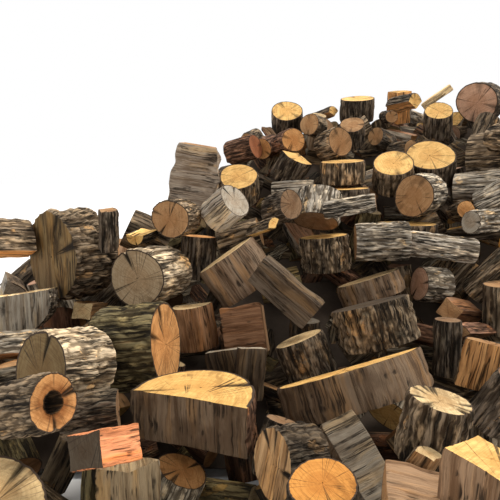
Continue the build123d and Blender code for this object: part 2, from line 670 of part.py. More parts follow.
def solid_of(block, hollow):
    """One piece as a solid, drawn on the plane of its own sawn end."""
    count = len(block.outline)
    plane = plane_of(block)
    local = [plane.to_local_coords(Vector(*corner)) for corner in block.corners[:count]]
    with BuildPart() as made:
        with BuildSketch(plane):
            Polygon(*[(corner.X, corner.Y) for corner in local], align=None)
            if hollow:
                hole = [(corner.X * hollow, corner.Y * hollow) for corner in local]
                Polygon(*hole, align=None, mode=Mode.SUBTRACT)
        extrude(amount=float(np.linalg.norm(block.corners[count] - block.corners[0])))
    return made.part.solid()


def profile(base, level, height):
    """The side view of a hill: its foot, and its level top."""
    return [(base[0], 0), (base[1], 0), (level[1], height), (level[0], height)]


under_layer()
hidden_crest()
back_hill_pieces()
ridge_pieces()
front_pieces()
toe_layer()
flank_layer()


def export_all():
    os.makedirs("parts", exist_ok=True)
    with BuildPart() as front:
        with BuildSketch(Plane.XZ):
            Polygon(*profile(FRONT_BASE[:2], FRONT_LEVEL[:2], FRONT_TOP), align=None)
        extrude(amount=HILL_CUT, both=True)
        with BuildSketch(Plane.YZ):
            Polygon(*profile(FRONT_BASE[2:], FRONT_LEVEL[2:], FRONT_TOP), align=None)
        extrude(amount=HILL_CUT, both=True, mode=Mode.INTERSECT)
    with BuildPart() as shoulder:
        with BuildSketch(Plane.XZ):
            Polygon(*profile(SHOULDER_BASE[:2], SHOULDER_LEVEL[:2], SHOULDER_TOP), align=None)
        extrude(amount=HILL_CUT, both=True)
        with BuildSketch(Plane.YZ):
            Polygon(*profile(SHOULDER_BASE[2:], SHOULDER_LEVEL[2:], SHOULDER_TOP), align=None)
        extrude(amount=HILL_CUT, both=True, mode=Mode.INTERSECT)
    with BuildPart() as core:
        with BuildSketch(Plane.XZ):
            Polygon(*profile(BACK_BASE[:2], BACK_LEVEL[:2], BACK_TOP), align=None)
        extrude(amount=HILL_CUT, both=True)
        with BuildSketch(Plane.YZ):
            Polygon(*profile(BACK_BASE[2:], BACK_LEVEL[2:], BACK_TOP), align=None)
        extrude(amount=HILL_CUT, both=True, mode=Mode.INTERSECT)
        add(front.part)
        add(shoulder.part)
    core.part.label = "core"
    export_step(core.part, "parts/core.step")
    for name in nodes:
        solids = [solid_of(block, hollow) for block, hollow in nodes[name]]
        group = solids[0] if len(solids) == 1 else Compound(solids)
        group.label = name
        export_step(group, "parts/" + name + ".step")


export_all()
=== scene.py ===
# Heap of firewood logs. Each laid piece gets ridged bark, sawn ends with rings and drying
# cracks, and fibrous split faces, built on the outline of its own plain solid.
import math
from collections import namedtuple
import bpy
import numpy as np
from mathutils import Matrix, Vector


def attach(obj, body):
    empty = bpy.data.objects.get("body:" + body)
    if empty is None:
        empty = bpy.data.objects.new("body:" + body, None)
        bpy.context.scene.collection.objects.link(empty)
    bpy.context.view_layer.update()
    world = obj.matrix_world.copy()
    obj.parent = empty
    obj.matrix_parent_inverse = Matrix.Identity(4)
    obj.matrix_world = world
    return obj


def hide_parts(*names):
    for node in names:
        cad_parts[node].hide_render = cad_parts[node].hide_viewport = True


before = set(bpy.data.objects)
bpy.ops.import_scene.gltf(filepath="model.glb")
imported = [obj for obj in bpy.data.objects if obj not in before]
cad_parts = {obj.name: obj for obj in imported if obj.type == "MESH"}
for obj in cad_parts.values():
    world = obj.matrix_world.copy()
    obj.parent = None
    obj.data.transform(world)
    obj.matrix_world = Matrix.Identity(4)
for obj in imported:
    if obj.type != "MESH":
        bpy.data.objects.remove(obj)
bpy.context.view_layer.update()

TURN = 2 * math.pi

# The eye that looks at the heap, its downward tilt, and the square picture it sees.
EYE = Vector((-0.35, -4.1, 1.65))
EYE_PITCH = math.radians(10.2)
LENS = 36.0
SENSOR = 36.0
PICTURE_SIZE = 500

# The sun's strength, width, colour and the way it shines, and the floor under the heap.
SUN_STRENGTH = 3.0
SUN_WIDTH = math.radians(14)
SUN_COLOUR = (1.0, 0.95, 0.87)
SUN_WAY = Vector((-0.5, -0.35, -0.85))
FLOOR_SIZE = 60
FLOOR_DROP = 0.002
FLOOR_COLOUR = (0.8, 0.8, 0.8, 1)
FLOOR_ROUGHNESS = 0.9
WOOD_SPECULAR = 0.15

# How finely pieces are drawn: points round the trunk, rows along it, and rings over an end.
NEAR = (116, 26, 9)
FAR = (68, 12, 5)
HIDDEN = (26, 5, 2)
SUNK = (14, 3, 1)
FAR_NODES = ("back_", "broad_", "middle_", "mottled_logs", "crossing", "bright_split", "right_edge")
HIDDEN_NODES = ("outer_", "under_", "hidden_", "toe_pieces")

# The far nodes' wood is painted paler and greyer by this much, partly as sunlight on the upper
# heap and partly as drier wood. Elsewhere it gets so between these two heights. A sawn end takes
# only this share of it.
PAINTED_SUN_AND_DRY_LIFT = np.array((1.9, 2.0, 2.25))
PAINTED_SUN_AND_DRY_FROM = 0.35
PAINTED_SUN_AND_DRY_AT = 1.0
END_LIFT_SHARE = 0.3

# A piece's colour is its look's, times a tone of at least this, and up to this much more.
TONE = (0.85, 0.3)
UNDER_SHADE = 0.8

# A flat of the outline this many times the usual one is a split face. A block has four of them.
SPLIT_FLAT = 1.6
BLOCK_CORNERS = 4

# An end with this many corners has its hole's corners among them, well inside the others.
HOLLOW_CORNERS = 32
HOLE_REACH = 0.7

# Furrows and fibres of the sides: the steps of their noise, in rows along the trunk and columns
# round it, and the share of each in the sum.
BROAD_FURROW = (7, 2.4)
NARROW_FURROW = (3, 1.2)
BROAD_SHARE = 0.62
NARROW_SHARE = 0.38
LONG_FIBRE = (9, 1.2)
SHORT_FIBRE = (5, 5)
SHORT_SHARE = 0.7

# A bark has its grooves where the furrows' noise is near a half. Its look says how deep they are.
GROOVE_SHARPNESS = 2.6
GROOVE_POWER = 1.5
BARK_FIBRE = 0.3

# Bare and split wood: the depths of its fibres, worn hollows and drying checks, the noise above
# which there is a check, and how many checks and hollows find room along the trunk and round it.
FIBRE_DEPTH = 0.006
WORN_DEPTH = 0.012
CHECK_DEPTH = 0.007
CHECK_FROM = 0.86
CHECK_SPAN = 0.12
CHECKS_ALONG = 2.5
WORN_ALONG = 2
WORN_ROUND = 9

# Near a sawn end the relief eases towards its mean, and the rim is rounded off.
END_EASE = 0.65
EASE_REACH = 0.012
RIM_ROUND = 0.003
ROUND_REACH = 0.006

# An uneven piece is worn by a ragged noise, with so many waves along it and round it, and more
# at its top.
RAGGED_WEAR = 0.6
RAGGED_WAVES = 6
TOP_WEAR = 0.7

# A drying crack: its shape in columns round the trunk, its width, which a far one has only a
# share of, its depth as a share of the radius, where it starts on an end and how dark it is. A log
# whose look gives no number has fewer than the most.
CRACK_SHAPE = ((-2, 0.08), (-1, 0.6), (0, 1.0), (1, 0.6), (2, 0.08))
CRACK_WIDTH = (0.4, 0.6)
FAR_CRACK = 0.4
MOST_CRACKS = 4
CRACK_DEPTH = 0.11
CRACK_STARTS = (0.15, 0.45)
CRACK_GROWS = 0.25
CRACK_FILL = 1.5
CRACK_DARK = 0.96

# Some logs' cracks fade along the trunk, down to this share of their depth.
FADING_CHANCE = 0.5
LEAST_FADE = 0.25

# Each log's noise lies somewhere in this range, and its upper end's further on. The last column
# of a strip is given this much more of the way round, in metres.
SEED_SPREAD = 40
TOP_SEED = 7
STRIP_STEP = 0.01

# The sawn ends: the steps of their noise, how rough, hollowed and cracked they are, and how near
# their middle they are drawn. The pith lies a little off a round's middle and outside a block.
# Only a barked rim has the dark line, which shows from a share above that of a split one.
END_NOISE = (2, 6)
END_ROUGH = 0.003
END_HOLLOW = 0.006
END_CRACK = 0.012
PITH_SHARE = 0.02
PITH_WANDER = 0.12
BLOCK_PITH = 1.3
SPLIT_RIM = 0.9

# The rotted heart round a hole: where it begins, how wide and how uneven it is, and what it takes
# off red, green and blue.
ROT_AT = 0.85
ROT_WIDE = 0.3
ROT_LEVEL = 0.75
ROT_UNEVEN = 0.5
ROT_TINT = np.array((0.55, 0.68, 0.78))
HOLE_SHADE = 0.8

# The shell painted near-black as the shade between the logs: how far it lies inside the core, and how low
# it reaches.
CORE_INSET = 0.045
SHELL_FLOOR = 0.004

# The logs drawn in the core's slopes: the area of slope that each has, its least radius, length
# and tilt with what is added to them, and how far its corners, its bulge and its bark go in.
SUNK_AREA = 0.045
SUNK_RADIUS = (0.08, 0.06)
SUNK_LENGTH = (0.24, 0.1)
SUNK_TILT = (-0.15, 0.3)
SUNK_CORNERS = 12
SUNK_BULGE = 1.02
SUNK_COVER = 0.004
SUNK_BARK = 0.004

# The seeds of the core's logs and of the first node's.
CORE_SEED = 7
NODE_SEED = 100

# The materials' slots on every piece.
BARK_SLOT = 0
END_SLOT = 1
SPLIT_SLOT = 2

# Colours as they look in soft light.
CREAM = (0.84, 0.73, 0.54)
YELLOW = (0.87, 0.70, 0.42)
ORANGE = (0.75, 0.55, 0.34)
BRIGHT_ORANGE = (0.82, 0.57, 0.28)
HONEY = (0.78, 0.63, 0.45)
CORAL = (0.84, 0.55, 0.37)
TAN = (0.66, 0.51, 0.35)
WORN = (0.62, 0.54, 0.42)
BROWN = (0.53, 0.42, 0.31)
UMBER = (0.42, 0.345, 0.265)
OLIVE = (0.47, 0.39, 0.26)
RUST = (0.60, 0.38, 0.25)
RUSSET = (0.56, 0.41, 0.28)
RED = (0.46, 0.335, 0.235)
PINK = (0.72, 0.57, 0.46)
GREY = (0.62, 0.58, 0.51)
DRIFT = (0.55, 0.49, 0.41)
SLATE = (0.45, 0.41, 0.35)
DARK = (0.31, 0.265, 0.21)
BARK = (0.46, 0.39, 0.30)
BARK_GREY = (0.59, 0.54, 0.46)
BARK_PALE = (0.68, 0.60, 0.48)
BARK_DARK = (0.35, 0.30, 0.24)
BARK_OLIVE = (0.42, 0.37, 0.25)
BARK_RED = (0.43, 0.31, 0.23)


def look(end, bark, split, depth, u=0, v=0, bare=False, torn=False, across=False, cracks=None, uneven=0):
    """The colours of one piece's ends, bark and split faces, its bark's depth and its finish.

    The place u, v is where the piece is seen in the photograph, to tell a node's pieces apart.
    A bare piece has lost its bark, and a torn one has split faces where others have sawn ends.
    The lines on the sides of an across piece run round it, where others have them lengthwise.
    An uneven piece has its corners worn in by up to about this much, most of all at its top.
    Where cracks gives no number of drying cracks, a seeded one is drawn.
    """
    return {
        "end": end,
        "bark": bark,
        "split": split,
        "depth": depth,
        "place": (u, v),
        "bare": bare,
        "torn": torn,
        "across": across,
        "cracks": cracks,
        "uneven": uneven,
    }


LOOKS = {
    "tall_bark_round": [look(OLIVE, BARK, BROWN, 0.034, torn=True, cracks=3)],
    "tall_grey_slab": [look(TAN, DRIFT, DRIFT, 0.006, across=True, uneven=0.07)],
    "faced_round": [look(WORN, BARK_PALE, TAN, 0.012, cracks=1)],
    "tilted_thick_round": [look(CREAM, UMBER, UMBER, 0.006, bare=True)],
    "leaning_dark_slab": [look(GREY, BARK_DARK, DARK, 0.008)],
    "ridged_orange_round": [look(ORANGE, BARK_OLIVE, TAN, 0.016)],
    "big_dark_round": [look(OLIVE, BARK_PALE, BROWN, 0.014)],
    "hollow_round": [look(ORANGE, BARK, BROWN, 0.010)],
    "cracked_block": [look(DARK, BARK_DARK, CORAL, 0.004)],
    "big_half_round": [look(YELLOW, BARK_RED, UMBER, 0.010)],
    "reddish_bark_half": [look(CREAM, RUSSET, TAN, 0.006, bare=True)],
    "split_block": [look(BROWN, BARK_RED, RED, 0.005, cracks=0)],
    "slice_top": [look(CREAM, UMBER, UMBER, 0.006, bare=True)],
    "slice_middle": [look(DARK, BARK, BROWN, 0.022)],
    "slice_low": [look(CREAM, BARK_DARK, UMBER, 0.012)],
    "wide_half_slice": [look(YELLOW, UMBER, UMBER, 0.006, bare=True)],
    "standing_round": [look(CREAM, BARK, BROWN, 0.014, cracks=13)],
    "curved_grey_slab": [look(SLATE, SLATE, SLATE, 0.008, bare=True, across=True)],
    "lens_face_round": [look(HONEY, BARK_DARK, BROWN, 0.014, torn=True, cracks=4)],
    "small_ridged_log": [look(BROWN, BARK_DARK, BROWN, 0.012)],
    "small_dark_half": [look(BROWN, BARK_DARK, BROWN, 0.016)],
    "big_corner_block": [look(YELLOW, BARK, BROWN, 0.006)],
    "cream_toe_round": [look(CREAM, BARK_DARK, BROWN, 0.012)],
    "ridged_bark_round": [look(YELLOW, BARK, BROWN, 0.020)],
    "mottled_bark_round": [look(TAN, BARK_GREY, RED, 0.016)],
    "tipped_round": [look(BROWN, BARK_GREY, BROWN, 0.014)],
    "left_grey_half": [look(GREY, BARK_GREY, CREAM, 0.008, torn=True, cracks=1)],
    "broad_back_round": [look(YELLOW, BARK_DARK, TAN, 0.010)],
    "back_top_round": [look(YELLOW, BARK, TAN, 0.010)],
    "back_disc": [look(YELLOW, BARK, TAN, 0.010)],
    "middle_disc": [look(YELLOW, BARK_DARK, TAN, 0.010)],
    "middle_face_round": [look(TAN, BARK_GREY, TAN, 0.010)],
    "bright_split_wedge": [look(YELLOW, BARK_DARK, YELLOW, 0.008)],
    "back_bright_wedge": [look(YELLOW, BARK_DARK, YELLOW, 0.008)],
    "right_lens_log": [look(PINK, BARK_GREY, TAN, 0.008)],
    "right_split_half": [look(TAN, BARK, ORANGE, 0.010)],
    "long_bark_piece": [look(BROWN, BARK_GREY, BROWN, 0.014)],
    "grained_weathered_log": [look(GREY, BARK_GREY, GREY, 0.010)],
    "back_right_dark_round": [
        look(BROWN, BARK_DARK, BROWN, 0.014, u=478, v=156),
        look(BROWN, BARK, TAN, 0.012, u=506, v=138),
    ],
    "back_left_rounds": [
        look(RUST, BARK_RED, RUST, 0.010, u=257, v=164),
        look(YELLOW, BARK, TAN, 0.010, u=244, v=185),
    ],
    "back_crest_pieces": [
        look(YELLOW, BARK_DARK, TAN, 0.008, u=287, v=112),
        look(TAN, BARK, TAN, 0.008, u=232, v=126),
        look(TAN, BARK, TAN, 0.008, u=257, v=133),
        look(YELLOW, BARK_DARK, TAN, 0.010, u=357, v=108),
        look(YELLOW, BARK_DARK, ORANGE, 0.008, u=402, v=104),
        look(PINK, BARK_DARK, TAN, 0.008, u=480, v=100),
        look(CREAM, BARK, CREAM, 0.006, u=437, v=95),
        look(YELLOW, BARK_DARK, TAN, 0.010, u=438, v=122),
    ],
    "back_small_rounds": [
        look(TAN, BARK, CREAM, 0.008, u=313, v=124),
        look(TAN, BARK_DARK, TAN, 0.008, u=352, v=132),
        look(ORANGE, BARK_RED, TAN, 0.008, u=288, v=140),
        look(TAN, BARK, TAN, 0.008, u=333, v=143),
        look(ORANGE, BARK_RED, TAN, 0.008, u=268, v=147),
    ],
    "mottled_logs": [
        look(TAN, BARK_GREY, TAN, 0.010, u=475, v=188),
        look(TAN, BARK_GREY, TAN, 0.010, u=490, v=196),
        look(ORANGE, BARK, TAN, 0.008, u=457, v=212),
    ],
    "crossing_logs": [
        look(YELLOW, BARK_DARK, TAN, 0.010, u=350, v=202),
        look(GREY, BARK_GREY, GREY, 0.008, u=292, v=188),
    ],
    "left_crest_pieces": [
        look(ORANGE, BARK, ORANGE, 0.010, u=18, v=238),
        look(TAN, BARK_DARK, DARK, 0.010, u=107, v=230),
        look(YELLOW, BARK_DARK, YELLOW, 0.008, u=140, v=236),
    ],
    "crest_rounds": [
        look(TAN, BARK, TAN, 0.010, u=175, v=218),
        look(GREY, GREY, GREY, 0.006, u=225, v=208, bare=True),
        look(BROWN, BARK_DARK, BROWN, 0.012, u=281, v=206),
        look(YELLOW, BARK, YELLOW, 0.008, u=262, v=228),
    ],
    "left_edge_billets": [
        look(ORANGE, BARK, ORANGE, 0.008, u=20, v=300),
        look(CREAM, BARK, TAN, 0.006, u=90, v=310),
        look(TAN, BARK_GREY, TAN, 0.008, u=10, v=345),
        look(TAN, BARK, TAN, 0.008, u=100, v=400),
    ],
    "right_edge_logs": [
        look(GREY, BARK, GREY, 0.010, u=478, v=276),
        look(TAN, BARK_RED, RED, 0.008, u=459, v=308),
        look(BROWN, BARK_DARK, TAN, 0.012, u=446, v=346),
        look(TAN, BARK, TAN, 0.010, u=499, v=300),
    ],
    "gap_planks": [look(GREY, BARK_DARK, DARK, 0.006), look(GREY, BARK_DARK, BROWN, 0.006)],
    "toe_rounds": [
        look(ORANGE, BARK_GREY, GREY, 0.010, u=175, v=475),
        look(WORN, BARK_GREY, WORN, 0.010, u=130, v=494, torn=True),
        look(BRIGHT_ORANGE, BARK_DARK, ORANGE, 0.010, u=324, v=490),
        look(CREAM, BARK, TAN, 0.008, u=425, v=462),
        look(TAN, BARK, BROWN, 0.010, u=412, v=492),
    ],
}
ANY_END = [TAN, OLIVE, ORANGE, CREAM, TAN, YELLOW, PINK, BROWN, GREY]
ANY_BARK = [BARK, BARK_GREY, BARK_DARK, BARK_OLIVE, BARK_RED, BARK]
ANY_SPLIT = [BROWN, TAN, BROWN, RED, GREY, TAN]
ANY_DEPTH = (0.008, 0.006)
BARE_CHANCE = 0.15

Log = namedtuple("Log", "middle first second along outline length hollow")


def picture_place(point):
    """Where a point is seen in the photograph: its column and row."""
    apart = Vector(point) - EYE
    ahead = apart.y * math.cos(EYE_PITCH) - apart.z * math.sin(EYE_PITCH)
    above = apart.y * math.sin(EYE_PITCH) + apart.z * math.cos(EYE_PITCH)
    focal = PICTURE_SIZE * LENS / SENSOR
    return PICTURE_SIZE / 2 + focal * apart.x / ahead, PICTURE_SIZE / 2 - focal * above / ahead


def drawn(chance, least, more):
    """A random value from a least one up to that much more."""
    return least + more * chance.random()


def any_of(choices, pick):
    """The choice that a random value from 0 to 1 falls on."""
    return choices[int(pick * len(choices))]


def shaded(colour, shade):
    return tuple(shade * c for c in colour)


def linear(colour):
    """A colour as it looks, made into the light that it gives back."""
    return np.array([((c + 0.055) / 1.055) ** 2.4 for c in colour])


def look_for(name, point, chance):
    """The look of the nearest place in a node's list, or a seeded one."""
    if name in LOOKS:
        seen = picture_place(point)
        return min(LOOKS[name], key=lambda known: math.dist(known["place"], seen))
    picks = chance.random(4)
    end = any_of(ANY_END, picks[0])
    if name.startswith("under_"):
        end = shaded(end, UNDER_SHADE)
    bark = any_of(ANY_BARK, picks[1])
    split = any_of(ANY_SPLIT, picks[2])
    least, more = ANY_DEPTH
    return look(end, bark, split, least + more * picks[3], bare=chance.random() < BARE_CHANCE)


class Pile:
    """Vertices, faces and their looks, gathered for one mesh."""

    def __init__(self):
        self.points = []
        self.quads = []
        self.bases = []
        self.grains = []
        self.slots = []
        self.count = 0

    def grid(self, points, grains, base, alpha, slot, closed):
        """A grid of points, rows by columns. A closed one joins its last column to its first."""
        rows, columns = points.shape[:2]
        index = np.arange(rows * columns).reshape(rows, columns) + self.count
        right = np.roll(index, -1, axis=1) if closed else index[:, 1:]
        left = index if closed else index[:, :-1]
        quads = np.stack([left[:-1], right[:-1], right[1:], left[1:]], axis=-1).reshape(-1, 4)
        colour = np.empty((rows, columns, 4))
        colour[..., :3] = base
        colour[..., 3] = alpha
        self.points.append(points.reshape(-1, 3))
        self.grains.append(grains.reshape(-1, 3))
        self.bases.append(colour.reshape(-1, 4))
        self.quads.append(quads)
        self.slots.append(np.full(len(quads), slot))
        self.count += rows * columns

    def build(self, name, materials):
        """Make the mesh. Nothing of it reaches below the ground."""
        mesh = bpy.data.meshes.new(name)
        points = np.vstack(self.points)
        points[:, 2] = np.maximum(points[:, 2], 0.0)
        quads = np.vstack(self.quads)
        mesh.vertices.add(len(points))
        mesh.vertices.foreach_set("co", points.astype(np.float32).ravel())
        mesh.loops.add(quads.size)
        mesh.loops.foreach_set("vertex_index", quads.astype(np.int32).ravel())
        mesh.polygons.add(len(quads))
        mesh.polygons.foreach_set("loop_start", (np.arange(len(quads)) * 4).astype(np.int32))
        for material in materials:
            mesh.materials.append(material)
        mesh.polygons.foreach_set("material_index", np.concatenate(self.slots).astype(np.int32))
        mesh.polygons.foreach_set("use_smooth", np.ones(len(quads), dtype=bool))
        base = mesh.attributes.new("base", "FLOAT_COLOR", "POINT")
        base.data.foreach_set("color", np.vstack(self.bases).astype(np.float32).ravel())
        grain = mesh.attributes.new("grain", "FLOAT_VECTOR", "POINT")
        grain.data.foreach_set("vector", np.vstack(self.grains).astype(np.float32).ravel())
        mesh.update(calc_edges=True)
        mesh.validate()
        made = bpy.data.objects.new(name, mesh)
        bpy.context.scene.collection.objects.link(made)
        return made


def loose_parts(source):
    """The separate bodies of one node's mesh: their corners and the faces' normals."""
    mesh = source.data
    world = source.matrix_world
    corners = np.array([world @ v.co for v in mesh.vertices])
    keys = {}
    same = []
    for corner in corners:
        same.append(keys.setdefault(tuple(np.round(corner, 6)), len(keys)))
    parent = list(range(len(keys)))

    def root(k):
        while parent[k] != k:
            parent[k] = parent[parent[k]]
            k = parent[k]
        return k

    for face in mesh.polygons:
        ring = [same[k] for k in face.vertices]
        for k in ring[1:]:
            parent[root(k)] = root(ring[0])
    spots = np.array(list(keys.keys()))
    groups = {}
    for k in range(len(spots)):
        groups.setdefault(root(k), []).append(k)
    normals = {}
    sliver = 1e-10
    for face in mesh.polygons:
        ring = corners[list(face.vertices)]
        cross = np.cross(ring[1] - ring[0], ring[2] - ring[0])
        size = np.linalg.norm(cross)
        if size > sliver:
            normals.setdefault(root(same[face.vertices[0]]), []).append(cross / size)
    return [(spots[members], np.array(normals[key])) for key, members in groups.items()]


def read_log(corners, normals):
    """A body's axis and outline: its two sawn ends hold all its corners between them."""
    slack = 2e-5
    for normal in normals:
        heights = corners @ normal
        top = heights > heights.max() - slack
        foot = heights < heights.min() + slack
        if top.sum() != foot.sum() or top.sum() + foot.sum() != len(corners):
            continue
        ring = corners[foot]
        middle = ring.mean(axis=0)
        first = ring[0] - middle
        first = first / np.linalg.norm(first)
        second = np.cross(normal, first)
        flat = np.stack([(ring - middle) @ first, (ring - middle) @ second], axis=1)
        order = np.argsort(np.arctan2(flat[:, 1], flat[:, 0]))
        reach = np.hypot(flat[:, 0], flat[:, 1])
        hollow = 0.0
        if len(flat) == HOLLOW_CORNERS:
            order = order[reach[order] > HOLE_REACH * reach.max()]
            hollow = reach.min() / reach.max()
        length = heights.max() - heights.min()
        return Log(middle, first, second, normal, flat[order], length, hollow)
    return None


def smooth_noise(chance, rows, columns, row_step, column_step):
    """Random values on a coarse lattice, drawn out to the grid. It closes round the trunk."""
    tall = max(2, int(rows / row_step) + 2)
    wide = max(3, int(columns / column_step))
    lattice = chance.random((tall, wide))
    last = tall - 1.001
    y = np.linspace(0, last, rows)
    x = np.linspace(0, wide, columns, endpoint=False)
    y0, x0 = y.astype(int), x.astype(int)
    fy, fx = (y - y0)[:, None], (x - x0)[None, :]
    fy, fx = fy * fy * (3 - 2 * fy), fx * fx * (3 - 2 * fx)
    a = lattice[y0][:, x0 % wide]
    b = lattice[y0][:, (x0 + 1) % wide]
    c = lattice[y0 + 1][:, x0 % wide]
    d = lattice[y0 + 1][:, (x0 + 1) % wide]
    return (a * (1 - fx) + b * fx) * (1 - fy) + (c * (1 - fx) + d * fx) * fy


def trunk_ring(outline, around):
    """Points round a trunk, curved where it has bark and straight over its split faces.

    Says too which of the points, and which of the outline's flats, belong to a split face.
    """
    corners = len(outline)
    edges = np.roll(outline, -1, axis=0) - outline
    sizes = np.hypot(edges[:, 0], edges[:, 1])
    flat_edge = sizes > SPLIT_FLAT * np.median(sizes)
    if corners == BLOCK_CORNERS:
        flat_edge = np.ones(corners, bool)
    share = np.maximum(2, np.round(around * sizes / sizes.sum()).astype(int))
    spots = []
    for k in range(corners):
        before, here = outline[k - 1], outline[k]
        there, after = outline[(k + 1) % corners], outline[(k + 2) % corners]
        t = (np.arange(share[k]) / share[k])[:, None]
        if flat_edge[k]:
            spots.append(here + (there - here) * t)
            continue
        leaving = (there - here) if flat_edge[k - 1] else (there - before) / 2
        arriving = (there - here) if flat_edge[(k + 1) % corners] else (after - here) / 2
        t2, t3 = t * t, t * t * t
        curve = here * (2 * t3 - 3 * t2 + 1) + leaving * (t3 - 2 * t2 + t)
        spots.append(curve + there * (3 * t2 - 2 * t3) + arriving * (t3 - t2))
    return np.vstack(spots), np.repeat(flat_edge, share), flat_edge


def side_relief(chance, rows, count, depth, bald, across):
    """How deep each spot of a log's sides is cut, and how much of a groove or a check it is. The bark
    paints shade into its grooves from the groove share.
    """
    furrow = BROAD_SHARE * smooth_noise(chance, rows, count, *BROAD_FURROW)
    furrow = furrow + NARROW_SHARE * smooth_noise(chance, rows, count, *NARROW_FURROW)
    groove = 1 - np.clip(np.abs(furrow - 0.5) * GROOVE_SHARPNESS, 0, 1)
    check = (smooth_noise(chance, rows, count, rows / CHECKS_ALONG, 1.0) - CHECK_FROM) / CHECK_SPAN
    check = np.clip(check, 0, 1)
    fibre = smooth_noise(chance, rows, count, *LONG_FIBRE)
    fibre = fibre + SHORT_SHARE * smooth_noise(chance, rows, count, *SHORT_FIBRE)
    if across:
        check, fibre = 0 * check, 0 * fibre
    barked = depth * groove ** GROOVE_POWER + BARK_FIBRE * depth * fibre
    worn = WORN_DEPTH * smooth_noise(chance, rows, count, rows / WORN_ALONG, count / WORN_ROUND)
    plain = FIBRE_DEPTH * fibre + worn + CHECK_DEPTH * check
    return np.where(bald, plain, barked), np.where(bald, check, groove)


def open_cracks(outward, cracks):
    """How wide the drying cracks gape at each point round a trunk, and how deep they notch it."""
    count = len(outward)
    gap = np.zeros(count)
    notch = np.zeros(count)
    turn = np.arctan2(outward[:, 1], outward[:, 0])
    for angle, width in cracks:
        apart = np.abs((turn - angle + math.pi) % TURN - math.pi)
        column = np.argmin(apart)
        for step, share in CRACK_SHAPE:
            place = (column + step) % count
            gap[place] = max(gap[place], width * share)
            notch[place] = max(notch[place], width * share ** 3)
    return gap, notch


def pith_place(chance, outline, flat_edge, centre, size, corner_way):
    """The middle of the rings: near a round's centre, on a half's flat or beyond a block's corner."""
    pith = centre + (chance.random(2) - 0.5) * PITH_WANDER * size
    if len(outline) == BLOCK_CORNERS:
        return centre + corner_way * size * BLOCK_PITH
    if flat_edge.any():
        edges = np.roll(outline, -1, axis=0) - outline
        lone = flat_edge.sum() == 1
        return outline[flat_edge].mean(axis=0) + 0.5 * edges[flat_edge].mean(axis=0) * lone
    return pith


def eased(deep, heights, length):
    """The relief drawn towards its mean near the sawn ends, with their rims rounded off."""
    edge_gap = np.minimum(heights, length - heights)[:, None]
    ease = END_EASE * np.exp(-edge_gap / EASE_REACH)
    return deep * (1 - ease) + ease * deep.mean() + RIM_ROUND * np.exp(-edge_gap / ROUND_REACH)


def corner_wear(chance, rise, reach):
    """How far an uneven piece is worn in, as a share: most at its corners and its top."""
    rows, count = len(rise), len(reach)
    ragged = smooth_noise(chance, rows, count, rows / RAGGED_WAVES, count / RAGGED_WAVES)
    return (reach / reach.max()) ** 2 * (RAGGED_WEAR * ragged + TOP_WEAR * rise[:, None] ** 4)


